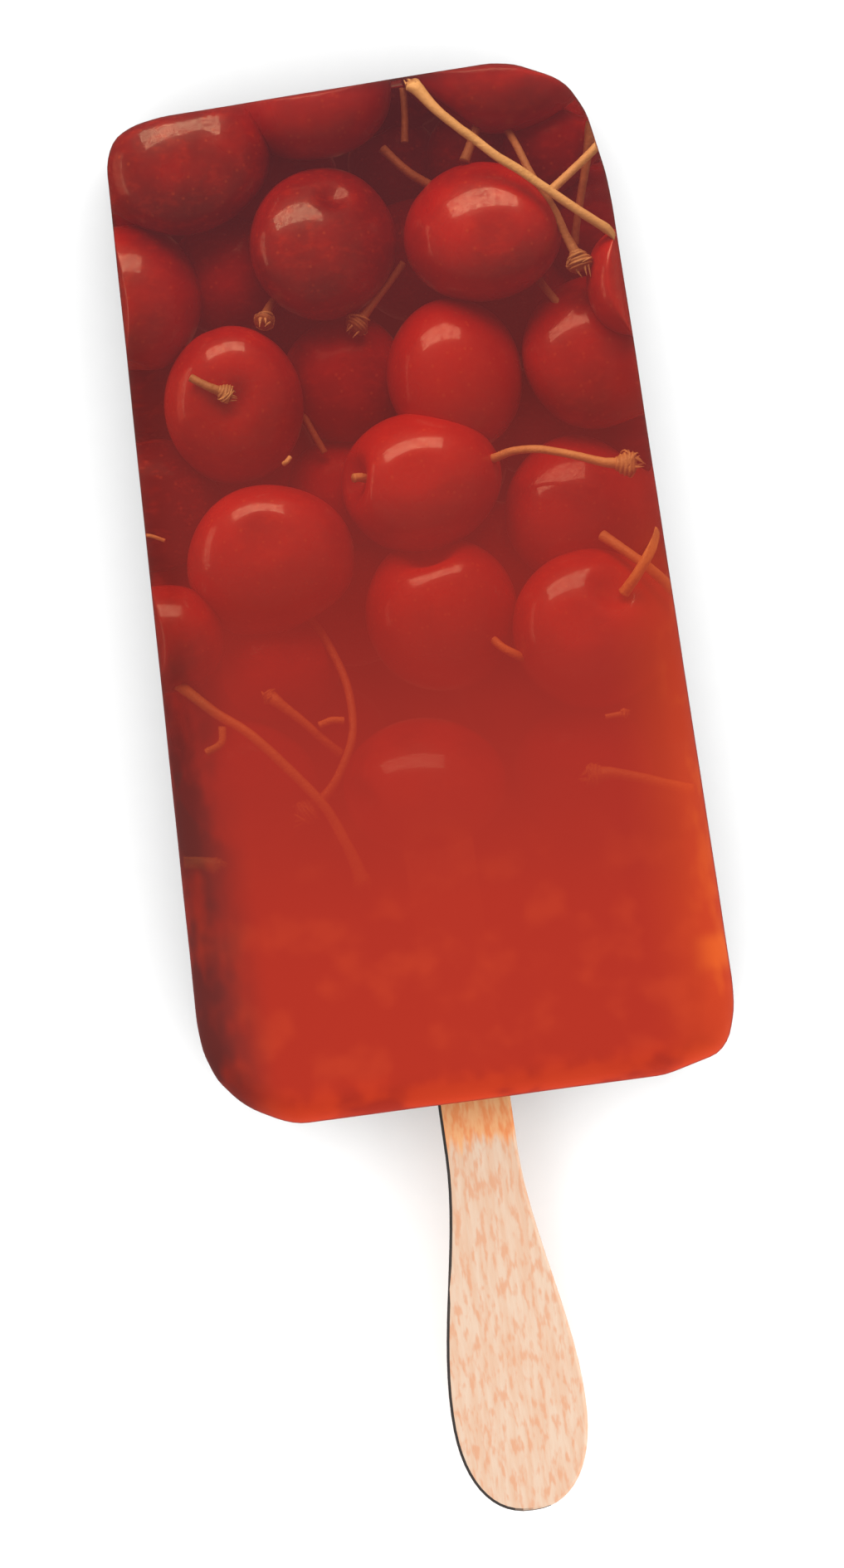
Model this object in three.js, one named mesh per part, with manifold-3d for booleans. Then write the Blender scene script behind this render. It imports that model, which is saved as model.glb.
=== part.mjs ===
// A fruit ice pop on a flat wooden paddle stick, lying on its back.
// Units are millimetres: +X across, +Y from the stick to the tip, +Z up.
// The origin is on the surface it lies on, below the middle of its whole length and width.
// The ice is one moulded block, slotted for the stick. The fruit frozen inside it is not modelled.

import * as THREE from "three";
import { mergeVertices } from "three/addons/utils/BufferGeometryUtils.js";
import Module from "manifold-3d";

// Ice block. Its base is the end that the stick goes into.
const ICE_LENGTH = 122.9; // along the middle, from base to tip
const BASE_WIDTH = 65.1;
const TIP_WIDTH = 59.3; // the mould's draft makes the tip narrower and thinner
const BASE_THICKNESS = 28;
const TIP_THICKNESS = 26;
const BASE_RISE = 0.3; // the base and the tip aren't quite square: how much higher each is at the right
const TIP_RISE = 2.0;
const EDGE_RADIUS = 4; // round the front and back faces
const EDGE_STEPS = 6;
const SIDE_STEPS = 6; // pieces that each straight side is drawn in

// Each corner of the outline: which end and side it is on, and where its short flats meet. The first
// number of a bend is its distance along the end from where the end and the side would meet, and the
// second is the same along the side.
const CORNERS = [
  {
    atTip: false,
    side: 1,
    bends: [[9.7, 0], [3.0, 1.7], [1.4, 3.4], [0.3, 6.8], [0, 9.8]],
  },
  {
    atTip: true,
    side: 1,
    bends: [[12.1, 0], [9.2, 0.6], [4.7, 2.9], [3.1, 4.3], [1.4, 7.8], [0.2, 15.3], [0, 19.0]],
  },
  {
    atTip: true,
    side: -1,
    bends: [[7.3, 0], [3.8, 0.5], [1.5, 1.6], [0.6, 2.9], [0, 5.0]],
  },
  {
    atTip: false,
    side: -1,
    bends: [[11.2, 0], [9.2, 0.6], [5.8, 2.4], [4.0, 3.8], [1.7, 6.6], [0.4, 10.0], [0, 13.5]],
  },
];

// Paddle stick
const STICK_THICKNESS = 2;
const STICK_EDGE = 0.35; // its edges are rounded by this much
const STICK_OUT = 50.3; // length that shows
const STICK_IN = 43; // length frozen in
const NECK_WIDTH = 8.8;
const PADDLE_WIDTH = 16.4;
const NECK_ENDS = 6.3; // distance from the ice at which the stick starts to widen
const PADDLE_STARTS = 37.5; // distance from the ice at which it is at its widest
const FULLNESS = 2.3; // exponent of the paddle's round end: 2 is an ellipse, more is squarer
const STICK_STEPS = 14; // points along the widening, and along each half of each end
const SKEW = THREE.MathUtils.degToRad(0.85); // the stick sits slightly askew in the ice
const STICK_OFFSET = -0.36; // and a little left of its middle
const SLOT_GAP = 0.3; // clearance round the stick in its slot
const SLOT_OVERSHOOT = 5; // the slot's cutter runs this far out of the base

const wasm = await Module();
wasm.setup();

// The ice's corners, anticlockwise: where the straight sides would meet, and the bends in the order
// they are passed, as distances back along the side that leads in and on along the one that leads out.
function outlineCorners() {
  return CORNERS.map(({ atTip, side, bends }) => {
    const halfWidth = (atTip ? TIP_WIDTH : BASE_WIDTH) / 2;
    const rise = ((atTip ? TIP_RISE : BASE_RISE) / 2) * side;
    const at = new THREE.Vector2(side * halfWidth, (atTip ? ICE_LENGTH : 0) + rise);
    // Going anticlockwise, a corner is left along the side at the base's right and the tip's left.
    const leavesAlongSide = atTip === side < 0;
    const turned = bends.map(([alongEnd, alongSide]) => [alongSide, alongEnd]).reverse();
    return { at, bends: leavesAlongSide ? bends : turned };
  });
}

// One corner's bends as points of the outline that lies inset further in. The corner shrinks with it.
function cornerPoints(corner, before, after, inset) {
  const toBefore = before.at.clone().sub(corner.at).normalize();
  const toAfter = after.at.clone().sub(corner.at).normalize();
  const sine = Math.abs(toBefore.cross(toAfter));
  const reachBefore = corner.bends[0][0];
  const reachAfter = corner.bends.at(-1)[1];
  return corner.bends.map(([back, on]) =>
    corner.at
      .clone()
      .addScaledVector(toBefore, inset / sine + back * (1 - inset / reachBefore))
      .addScaledVector(toAfter, inset / sine + on * (1 - inset / reachAfter)),
  );
}

// The ice's outline moved inwards by inset, as a closed ring of points. Every ring has the same number.
// Each straight side is drawn in several steps, so that no face is as long as the block.
function outlineRing(inset) {
  const corners = outlineCorners();
  const bends = corners.map((corner, i) =>
    cornerPoints(corner, corners.at(i - 1), corners[(i + 1) % corners.length], inset),
  );
  return bends.flatMap((points, i) => {
    const start = points.at(-1);
    const end = bends[(i + 1) % bends.length][0];
    const run = Array.from({ length: SIDE_STEPS - 1 }, (_, k) =>
      start.clone().lerp(end, (k + 1) / SIDE_STEPS),
    );
    return [...points, ...run];
  });
}

// Rings from the back face up to the front face: how far in each is, and its height.
// lift is the height above the back face, or, on the front half, minus the depth below the front face.
function edgeLevels() {
  const levels = Array.from({ length: EDGE_STEPS + 1 }, (_, k) => {
    const turn = (k / EDGE_STEPS) * (Math.PI / 2);
    return {
      inset: EDGE_RADIUS * (1 - Math.sin(turn)),
      lift: EDGE_RADIUS * (1 - Math.cos(turn)),
      front: false,
    };
  });
  const mirrored = levels.map((level) => ({ ...level, front: true })).reverse();
  return [...levels, ...mirrored];
}

function thicknessAt(y) {
  return THREE.MathUtils.lerp(BASE_THICKNESS, TIP_THICKNESS, y / ICE_LENGTH);
}

// A closed surface through rings of equal length, with a fan of faces over each end.
function loft(rings) {
  const count = rings[0].length;
  const points = rings.flat();
  const faces = [];
  for (let r = 0; r + 1 < rings.length; r++) {
    for (let k = 0; k < count; k++) {
      const a = r * count + k;
      const b = r * count + ((k + 1) % count);
      faces.push(a, b, b + count, a, b + count, a + count);
    }
  }
  [0, rings.length - 1].forEach((r, atTop) => {
    const centre = points.length;
    points.push(rings[r].reduce((sum, p) => sum.add(p), new THREE.Vector3()).divideScalar(count));
    for (let k = 0; k < count; k++) {
      const a = r * count + k;
      const b = r * count + ((k + 1) % count);
      faces.push(...(atTop ? [a, b, centre] : [b, a, centre]));
    }
  });
  const geometry = new THREE.BufferGeometry().setFromPoints(points);
  geometry.setIndex(faces);
  return geometry;
}

function iceBlock() {
  const rings = edgeLevels().map(({ inset, lift, front }) =>
    outlineRing(inset).map(
      ({ x, y }) => new THREE.Vector3(x, y, front ? thicknessAt(y) - lift : lift),
    ),
  );
  return loft(rings);
}

// The stick's outline in its own frame: Y 0 is where it comes out of the ice.
function stickShape() {
  const neck = NECK_WIDTH / 2;
  const paddle = PADDLE_WIDTH / 2;
  const right = [];
  for (let k = 0; k <= STICK_STEPS; k++) {
    const turn = (k / STICK_STEPS) * (Math.PI / 2);
    right.push([neck * Math.sin(turn), STICK_IN - neck * (1 - Math.cos(turn))]);
  }
  for (let k = 0; k < STICK_STEPS; k++) {
    const along = k / STICK_STEPS;
    const half = neck + (paddle - neck) * THREE.MathUtils.smoothstep(along, 0, 1);
    right.push([half, -THREE.MathUtils.lerp(NECK_ENDS, PADDLE_STARTS, along)]);
  }
  for (let k = 0; k <= STICK_STEPS; k++) {
    const turn = (k / STICK_STEPS) * (Math.PI / 2);
    right.push([
      paddle * Math.cos(turn) ** (2 / FULLNESS),
      -PADDLE_STARTS - (STICK_OUT - PADDLE_STARTS) * Math.sin(turn) ** (2 / FULLNESS),
    ]);
  }
  const left = right.slice(1, -1).reverse();
  const points = [...right, ...left.map(([x, y]) => [-x, y])];
  return new THREE.Shape(points.map(([x, y]) => new THREE.Vector2(x, y)));
}

// A flat solid of a shape, centred on Z 0, with its edges rounded by edge.
function slab(shape, thickness, edge) {
  const geometry = new THREE.ExtrudeGeometry(shape, {
    depth: thickness - 2 * edge,
    bevelEnabled: edge > 0,
    bevelThickness: edge,
    bevelSize: edge,
    bevelOffset: -edge,
    bevelSegments: 2,
  });
  return geometry.translate(0, 0, edge - thickness / 2);
}

// What the slot takes out of the ice: the frozen-in length of the stick, larger by the gap all round.
function slotCutter() {
  const half = NECK_WIDTH / 2 + SLOT_GAP;
  const shape = new THREE.Shape();
  shape.moveTo(-half, -SLOT_OVERSHOOT);
  shape.lineTo(half, -SLOT_OVERSHOOT);
  shape.absarc(0, STICK_IN + SLOT_GAP - half, half, 0, Math.PI);
  return slab(shape, STICK_THICKNESS + 2 * SLOT_GAP, 0);
}

function toSolid(geometry) {
  const bare = geometry.clone();
  bare.deleteAttribute("normal");
  bare.deleteAttribute("uv");
  const merged = mergeVertices(bare);
  return new wasm.Manifold(
    new wasm.Mesh({
      numProp: 3,
      vertProperties: merged.getAttribute("position").array,
      triVerts: new Uint32Array(merged.getIndex().array),
    }),
  );
}

function toGeometry(solid) {
  const { vertProperties, triVerts } = solid.getMesh();
  const geometry = new THREE.BufferGeometry();
  geometry.setAttribute("position", new THREE.BufferAttribute(vertProperties, 3));
  geometry.setIndex(new THREE.BufferAttribute(triVerts, 1));
  return geometry;
}

const iceMaterial = new THREE.MeshStandardMaterial({ color: 0xb43a2a, roughness: 0.25, metalness: 0 });
const woodMaterial = new THREE.MeshStandardMaterial({ color: 0xf2c7a8, roughness: 0.75, metalness: 0 });

const stick = new THREE.Mesh(slab(stickShape(), STICK_THICKNESS, STICK_EDGE), woodMaterial);
stick.name = "stick";
// The stick lies in the plane half way between the ice's faces.
stick.position.x = STICK_OFFSET;
stick.position.z = BASE_THICKNESS / 2;
stick.rotation.x = -Math.atan((BASE_THICKNESS - TIP_THICKNESS) / 2 / ICE_LENGTH);
stick.rotation.z = SKEW;
stick.updateMatrix();

const slot = slotCutter().applyMatrix4(stick.matrix);
const ice = new THREE.Mesh(toGeometry(toSolid(iceBlock()).subtract(toSolid(slot))), iceMaterial);
ice.name = "ice_block";

const pop = new THREE.Group();
pop.add(ice, stick);

const everyVertex = true; // the box is measured round the turned stick's points, not round its own box
const bounds = new THREE.Box3().setFromObject(pop, everyVertex);
const centre = bounds.getCenter(new THREE.Vector3());
pop.position.set(-centre.x, -centre.y, -bounds.min.z);

const icePop = new THREE.Group();
icePop.add(pop);

export default icePop;
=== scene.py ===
import math
import random

import bpy
import numpy as np
from mathutils import Matrix, Vector, geometry, noise


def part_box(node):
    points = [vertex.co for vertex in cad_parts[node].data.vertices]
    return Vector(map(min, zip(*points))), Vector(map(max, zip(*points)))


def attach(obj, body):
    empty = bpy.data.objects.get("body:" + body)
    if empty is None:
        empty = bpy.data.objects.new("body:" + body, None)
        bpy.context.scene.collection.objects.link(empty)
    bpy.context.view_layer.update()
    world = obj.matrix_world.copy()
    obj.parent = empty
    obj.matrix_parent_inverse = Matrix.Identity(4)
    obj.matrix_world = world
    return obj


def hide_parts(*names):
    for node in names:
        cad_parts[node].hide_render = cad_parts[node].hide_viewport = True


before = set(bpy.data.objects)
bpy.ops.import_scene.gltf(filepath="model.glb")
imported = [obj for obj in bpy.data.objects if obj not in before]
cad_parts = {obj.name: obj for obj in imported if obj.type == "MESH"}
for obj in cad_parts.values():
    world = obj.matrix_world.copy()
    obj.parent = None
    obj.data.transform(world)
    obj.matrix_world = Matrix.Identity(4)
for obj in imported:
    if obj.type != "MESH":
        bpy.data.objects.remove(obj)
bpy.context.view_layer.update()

MM = 0.001
BODY = "root"
ICE_LOW, ICE_HIGH = (np.array(corner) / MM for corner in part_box("ice_block"))

# The mould: the ice's faces taper in thickness from the base to the tip, and its edges are rounded.
EDGE_RADIUS = 4.0
TIP_THICKNESS = 26.0
BASE_THICKNESS = 28.0
BEND_SOFTNESS = 0.6  # how near two sides' distances are where the way out is shared between them
PRESSINGS = 3  # how many times points are pressed in from the walls, each from where the last left them
TINY = 1e-9  # added to a length before it divides, so that it is never 0

# Camera: straight above, turned so that the tip leans to the left.
LENS = 200.0
SENSOR = 36.0  # along the picture's long side
VIEW_LENGTH = 189.0  # how much the picture's long side covers
VIEW_CENTRE = (-1.7, 1.95, 18.5)
LEAN = math.radians(7.4)


# ---------------------------------------------------------------- the mould's shape

def mould_outline():
    """The ice's outline at its widest, anticlockwise, in millimetres."""
    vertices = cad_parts["ice_block"].data.vertices
    corners = sorted({(round(v.co.x / MM, 3), round(v.co.y / MM, 3)) for v in vertices})
    hull = np.array([corners[i] for i in geometry.convex_hull_2d([Vector(c) for c in corners])])
    following = np.roll(hull, -1, axis=0)
    area = np.sum(hull[:, 0] * following[:, 1] - hull[:, 1] * following[:, 0])
    return hull if area > 0 else hull[::-1]


def thickness_at(y):
    """The mould's thickness at a place along it."""
    along = np.clip((y - ICE_LOW[1]) / (ICE_HIGH[1] - ICE_LOW[1]), 0, 1)
    return BASE_THICKNESS + (TIP_THICKNESS - BASE_THICKNESS) * along


OUTLINE = mould_outline()


def wall_distance(points):
    """How far outside the outline each point is, and the way out, which turns smoothly at its bends."""
    edge = np.roll(OUTLINE, -1, axis=0) - OUTLINE
    edge = edge / np.linalg.norm(edge, axis=1)[:, None]
    outward = np.stack([edge[:, 1], -edge[:, 0]], axis=1)
    offset = np.sum(outward * OUTLINE, axis=1)
    from_sides = points[:, :2] @ outward.T - offset
    distance = from_sides.max(axis=1)
    way = np.exp((from_sides - distance[:, None]) / BEND_SOFTNESS) @ outward
    return distance, way / (np.linalg.norm(way, axis=1)[:, None] + TINY)


def mould_distance(points):
    """How far outside the mould's rounded walls each point is, and the outward direction there."""
    side, side_way = wall_distance(points)
    half = thickness_at(points[:, 1]) / 2
    face = np.abs(points[:, 2] - half) - half
    face_way = np.sign(points[:, 2] - half)
    a = side + EDGE_RADIUS
    b = face + EDGE_RADIUS
    rounded = (a > 0) & (b > 0)
    corner = np.hypot(np.maximum(a, 0), np.maximum(b, 0)) + TINY
    share_side = np.where(rounded, np.maximum(a, 0) / corner, (a >= b) * 1.0)
    share_face = np.where(rounded, np.maximum(b, 0) / corner, (a < b) * 1.0)
    distance = np.where(rounded, corner - EDGE_RADIUS, np.maximum(side, face))
    way = np.column_stack([side_way * share_side[:, None], face_way * share_face])
    return distance, way


def keep_inside(points, margin, softness):
    """Presses points in, so that they stop margin short of the mould's walls. They start to give way
    softness before that."""
    points = points.copy()
    for _ in range(PRESSINGS):
        distance, way = mould_distance(points)
        over = distance + margin + softness
        pressed = -margin - softness * np.exp(-np.maximum(over, 0) / softness)
        points -= way * np.where(over > 0, distance - pressed, 0)[:, None]
    return points


# ---------------------------------------------------------------- meshes

def make_piece(name, points, faces, material, slot):
    """A smooth mesh piece from points in millimetres. It rides on the pop's only body."""
    mesh = bpy.data.meshes.new(name)
    mesh.from_pydata((np.asarray(points) * MM).tolist(), [], faces)
    mesh.materials.append(material)
    mesh.update()
    mesh.shade_smooth()
    piece = bpy.data.objects.new(name, mesh)
    bpy.context.scene.collection.objects.link(piece)
    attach(piece, BODY)
    return piece


def joined(surfaces):
    """Several (points, faces) surfaces as one."""
    points, faces, start = [], [], 0
    for surface_points, surface_faces in surfaces:
        points.append(surface_points)
        faces += [[index + start for index in face] for face in surface_faces]
        start += len(surface_points)
    return np.vstack(points), faces


def paint(piece, name, values):
    """Stores a number for each point of a piece, for its material to read."""
    attribute = piece.data.attributes.new(name, "FLOAT", "POINT")
    attribute.data.foreach_set("value", np.asarray(values, np.float32))


def rings_of_faces(rings, sides):
    """Quads between closed rings of points, and a fan over each end round its own last point."""
    faces = []
    for r in range(rings - 1):
        for k in range(sides):
            a = r * sides + k
            b = r * sides + (k + 1) % sides
            faces.append([a, b, b + sides, a + sides])
    first_end = rings * sides
    last_ring = (rings - 1) * sides
    for k in range(sides):
        after = (k + 1) % sides
        faces.append([after, k, first_end])
        faces.append([last_ring + k, last_ring + after, first_end + 1])
    return faces


# ---------------------------------------------------------------- cherries

FRONT_MESH = (44, 80)  # rings round the stem end, and points in each
BACK_MESH = (32, 56)
FRONT_GLOSS = 0.85  # how much of the full shine the skins have
BACK_GLOSS = 0.1
CHERRY_DEPTH = 0.84  # front to back, as a share of the mean of its other sizes: they lie pressed together
BACK_DIMPLE = 0.8
UPRIGHT = (0.0, 0.0)  # no lean
WALL_GAP = 0.2  # between the cherries and the mould's walls
HIGH_SOFTNESS = 0.5  # over how many millimetres a cherry gives way to a wall, from HIGH_FROM up
LOW_SOFTNESS = 2.2  # the same from LOW_FROM down, so that what shows from the sides stays domed
HIGH_FROM = 17.0
LOW_FROM = 11.0

# A cherry's form. Heights, depths and the taper are shares of half its size. Places and widths are
# radians, from its stem end or, for the seam, round it.
DIMPLE_DEPTH = 0.40
DIMPLE_WIDTH = 0.36
SHOULDER_HEIGHT = 0.04
SHOULDER_PLACE = 0.75
SHOULDER_WIDTH = 0.4
SEAM_DEPTH = 0.012
SEAM_WIDTH = 0.12
TAPER = 0.04
SWELL_HEIGHT = 0.03
SWELL_WAVES = (2.6, 2.2, 2.4)  # how fast its slow swells change along each of its axes

# Each cherry: place of its centre, half its size along X and Y, level (0 touches the back of the
# mould, 1 the front), the way its stem end points, and how ripe it is. Those in front also have the
# size of their stem dimple, as a share of the usual, and how far they lean across and along as they
# come forward.
FRONT_CHERRIES = [
    # x, y, half width, half length, level, stem end, ripeness, dimple, lean
    (-20.3, 80.4, 10.3, 9.3, 0.92, (0.5, 0.8, -0.5), 0.68, 0.6, (0.0, -0.25)),
    (-5.1, 68.0, 8.9, 9.2, 0.95, (0.43, 0.66, 0.62), 0.60, 0.3, (-0.30, -0.05)),
    (14.05, 67.0, 9.55, 8.4, 1.0, (0.1, 0.5, -0.9), 0.33, 0.8, (0.16, -0.02)),
    (-4.4, 87.2, 10.0, 9.0, 0.70, (0.9, 0.3, -0.2), 0.38, 0.4, (0.0, -0.15)),
    (18.1, 87.3, 11.6, 8.8, 0.75, (-0.70, -0.68, 0.20), 0.42, 0.8, (0.0, -0.15)),
    (-28.8, 64.5, 8.3, 8.9, 0.85, (-0.2, -0.9, 0.2), 0.45, 0.6, (-0.20, -0.08)),
    (-18.3, 50.1, 8.4, 9.5, 0.86, (0.02, -0.18, 1.0), 0.34, 0.45, (0.04, 0.22)),
    (8.5, 50.4, 8.2, 9.3, 0.75, (-0.1, -0.8, -0.6), 0.08, 0.8, (-0.10, -0.10)),
    (25.8, 51.0, 8.9, 9.3, 0.6, (0.3, 0.75, -0.55), 0.36, 0.8, (-0.30, -0.15)),
    (31.5, 58.6, 5.9, 6.7, 1.0, (0.6, 0.7, -0.3), 0.26, 0.8, UPRIGHT),
    (2.95, 38.0, 9.7, 8.4, 1.0, (-0.88, 0.10, 0.38), 0.12, 0.7, (0.0, 0.12)),
    (21.3, 32.6, 9.0, 8.9, 0.55, (0.5, 0.5, -0.6), 0.24, 0.8, (-0.22, 0.0)),
    (-16.3, 31.0, 10.15, 9.1, 1.0, (0.5, -0.75, -0.4), 0.24, 0.8, (0.0, 0.25)),
    (3.3, 22.0, 9.2, 9.3, 0.85, (-0.08, 0.85, 0.50), 0.24, 0.8, (0.0, 0.10)),
    (21.1, 17.9, 9.7, 9.6, 1.0, (0.44, 0.38, 0.80), 0.24, 0.45, (-0.12, 0.08)),
    (-29.9, 23.2, 6.8, 6.5, 0.9, (-0.5, -0.5, 0.4), 0.34, 0.8, UPRIGHT),
    (-1.4, 1.9, 9.8, 8.0, 0.9, (-0.85, -0.1, 0.4), 0.40, 0.8, (0.0, -0.20)),
]
BACK_CHERRIES = [
    # x, y, half width, half length, level, stem end, ripeness
    (22.2, 76.6, 5.3, 5.2, 0.5, (0.1, 0.9, -0.3), 0.65),
    (15.2, 77.2, 6.4, 6.4, 0.3, (-0.3, -0.8, 0.5), 0.75),
    (5.2, 77.6, 5.6, 5.8, 0.1, (-0.3, 0.8, 0.2), 0.85),
    (6.2, 85.6, 7.0, 5.6, 0.1, (-0.3, 0.8, 0.2), 0.90),
    (-2.9, 52.6, 7.6, 7.8, 0.4, (-0.3, 0.7, -0.5), 0.45),
    (-16.4, 65.6, 7.0, 7.2, 0.35, (0.2, 0.5, -0.7), 0.60),
    (-8.0, 38.6, 6.8, 6.8, 0.4, (0.4, 0.2, -0.7), 0.30),
    (-27.6, 39.8, 7.4, 8.0, 0.35, (0.6, 0.4, -0.3), 0.90),
    (17.6, 58.2, 7.4, 7.0, 0.2, (-0.5, -0.6, -0.5), 0.70),
    (-28.4, 53.4, 6.4, 6.6, 0.2, (0.8, -0.2, -0.2), 0.95),
    (27.6, 66.6, 6.8, 7.2, 0.2, (0.3, -0.7, -0.5), 0.70),
    (17.4, 43.6, 6.6, 6.6, 0.15, (0.3, -0.7, -0.5), 0.55),
    (-16.8, 18.0, 7.2, 6.4, 0.55, (-0.7, 0.3, -0.3), 0.45),
    (-22.1, 4.6, 7.9, 8.0, 0.4, (0.4, 0.8, -0.2), 0.50),
    (18.0, 1.2, 8.3, 8.3, 0.4, (-0.6, 0.6, -0.4), 0.50),
    # these only show from the back and the sides
    (-26.4, 78.0, 7.2, 7.2, 0.0, (0.2, -0.7, -0.6), 0.5),
    (-11.5, 78.0, 8.2, 8.2, 0.0, (-0.5, 0.3, -0.7), 0.4),
    (26.2, 79.0, 6.6, 6.6, 0.0, (-0.5, 0.3, -0.7), 0.5),
    (6.0, 66.0, 7.6, 7.6, 0.0, (0.7, 0.3, -0.6), 0.6),
    (-8.4, 60.2, 6.8, 6.8, 0.0, (0.0, 0.9, -0.4), 0.7),
    (6.6, 40.8, 8.2, 8.2, 0.0, (0.5, 0.6, -0.6), 0.5),
    (27.4, 38.8, 7.4, 7.4, 0.05, (-0.5, 0.6, -0.5), 0.6),
    (-15.6, 43.4, 8.2, 8.2, 0.0, (-0.6, -0.5, -0.6), 0.4),
    (-25.2, 27.4, 7.8, 7.8, 0.0, (-0.2, 0.8, -0.5), 0.5),
    (-7.6, 26.6, 8.4, 8.4, 0.0, (0.8, -0.1, -0.6), 0.5),
    (12.0, 27.6, 8.2, 8.2, 0.0, (-0.4, -0.8, -0.4), 0.4),
    (26.6, 23.6, 7.4, 7.4, 0.0, (0.5, 0.5, -0.7), 0.6),
    (-26.4, 12.8, 6.8, 6.8, 0.0, (0.1, -0.9, -0.4), 0.5),
    (-12.2, 8.8, 7.0, 7.0, 0.0, (0.5, 0.5, -0.6), 0.6),
    (11.6, 11.6, 7.4, 7.4, 0.0, (0.1, 0.5, -0.8), 0.5),
    (26.0, 9.6, 7.2, 7.2, 0.0, (-0.6, -0.6, -0.4), 0.5),
]
CHERRIES = FRONT_CHERRIES + [(*cherry, BACK_DIMPLE, UPRIGHT) for cherry in BACK_CHERRIES]
SETTLE_STEPS = 60
SETTLE_OVERLAP = 0.88  # how near neighbours may come, as a share of what their sizes say: fruit is soft
SETTLE_PUSH = 0.3  # how hard neighbours push that are nearer than that
SETTLE_NEAREST = 0.1  # they push no harder than at this share of how near they may come
SETTLE_WAYS = (0.25, 0.25, 1)  # how far a push moves a cherry along X, Y and Z: mostly up or down


def half_size(cherry):
    """Half of a cherry's size along X, Y and Z."""
    half_width, half_length = cherry[2:4]
    return [half_width, half_length, math.sqrt(half_width * half_length) * CHERRY_DEPTH]


def settled_centres():
    """The cherries' centres, once those behind the front ones are pushed off their neighbours."""
    x, y, level = np.array([(cherry[0], cherry[1], cherry[4]) for cherry in CHERRIES]).T
    sizes = np.array([half_size(cherry) for cherry in CHERRIES])
    low = WALL_GAP + sizes[:, 2]
    high = thickness_at(y) - WALL_GAP - sizes[:, 2]
    centres = np.column_stack([x, y, low + (high - low) * level])
    free = np.arange(len(CHERRIES)) >= len(FRONT_CHERRIES)
    for _ in range(SETTLE_STEPS):
        for i in np.flatnonzero(free):
            offset = centres[i] - centres
            reach = (sizes[i] + sizes) * SETTLE_OVERLAP
            near = np.linalg.norm(offset / reach, axis=1)
            near[i] = np.inf  # it doesn't push itself
            push = np.where(near < 1, (1 / np.maximum(near, SETTLE_NEAREST) - 1) * SETTLE_PUSH, 0)
            centres[i] += np.sum(offset * push[:, None], axis=0) * SETTLE_WAYS
        centres[:, 2] = np.where(free, np.clip(centres[:, 2], low, high), centres[:, 2])
    return centres


def cherry_shape(draw, stem_end, dimple, lean, rings, sides):
    """A cherry in a box from -1 to 1. It has two shoulders beside its stem dimple, a seam and slow
    swells, and is narrower towards its tip."""
    t = np.linspace(0, np.pi, rings + 2)[1:-1, None]
    p = np.linspace(0, 2 * np.pi, sides, endpoint=False)[None, :]
    seam = np.exp(-((np.minimum(p, 2 * np.pi - p) / SEAM_WIDTH) ** 2)) * np.sin(t)
    near_shoulder = np.exp(-(((t - SHOULDER_PLACE) / SHOULDER_WIDTH) ** 2))
    shoulders = SHOULDER_HEIGHT * dimple * np.cos(2 * p) * near_shoulder
    across = np.sin(t) * (1 - SEAM_DEPTH * seam) * (1 + TAPER * np.cos(t))
    depth = DIMPLE_DEPTH * dimple
    hollow = depth * np.exp(-((t / (DIMPLE_WIDTH * math.sqrt(dimple))) ** 2))
    along = np.cos(t) - hollow + shoulders
    points = np.stack([across * np.cos(p), across * np.sin(p), along], axis=-1)
    points = np.vstack([points.reshape(-1, 3), [[0, 0, 1 - depth], [0, 0, -1]]])
    phase = [draw.uniform(0, 2 * math.pi) for _ in range(3)]
    swell = np.prod(np.sin(points * SWELL_WAVES + phase), axis=1)
    points = points * (1 + SWELL_HEIGHT * swell)[:, None]
    spin = Matrix.Rotation(draw.uniform(0, 2 * math.pi), 3, "Z")
    turn = Vector(stem_end).to_track_quat("Z", "Y").to_matrix() @ spin
    points = points @ np.array(turn).T
    points[:, :2] += points[:, 2:] * lean
    low, high = points.min(axis=0), points.max(axis=0)
    return (points - (low + high) / 2) / ((high - low) / 2)


def wall_softness(points):
    """How softly each point gives way to a wall, by how high it lies."""
    return np.interp(points[:, 2], [LOW_FROM, HIGH_FROM], [LOW_SOFTNESS, HIGH_SOFTNESS])


def cherry_piece(name, numbers, centres, mesh, gloss):
    """One piece of the cherries with those numbers in the table."""
    surfaces, ripenesses = [], []
    for i in numbers:
        stem_end, ripeness, dimple, lean = CHERRIES[i][5:]
        shape = cherry_shape(random.Random(i), stem_end, dimple, lean, *mesh)
        points = shape * half_size(CHERRIES[i]) + centres[i]
        surfaces.append((keep_inside(points, WALL_GAP, wall_softness(points)), rings_of_faces(*mesh)))
        ripenesses.append(np.full(len(points), ripeness))
    piece = make_piece(name, *joined(surfaces), cherry_material(name + "_skin", gloss), "cherry")
    paint(piece, "ripeness", np.concatenate(ripenesses))
    return piece


def make_cherries():
    centres = settled_centres()
    front = range(len(FRONT_CHERRIES))
    back = range(len(FRONT_CHERRIES), len(CHERRIES))
    return [
        cherry_piece("cherries_front", front, centres, FRONT_MESH, FRONT_GLOSS),
        cherry_piece("cherries_back", back, centres, BACK_MESH, BACK_GLOSS),
    ]


# ---------------------------------------------------------------- stems

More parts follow.
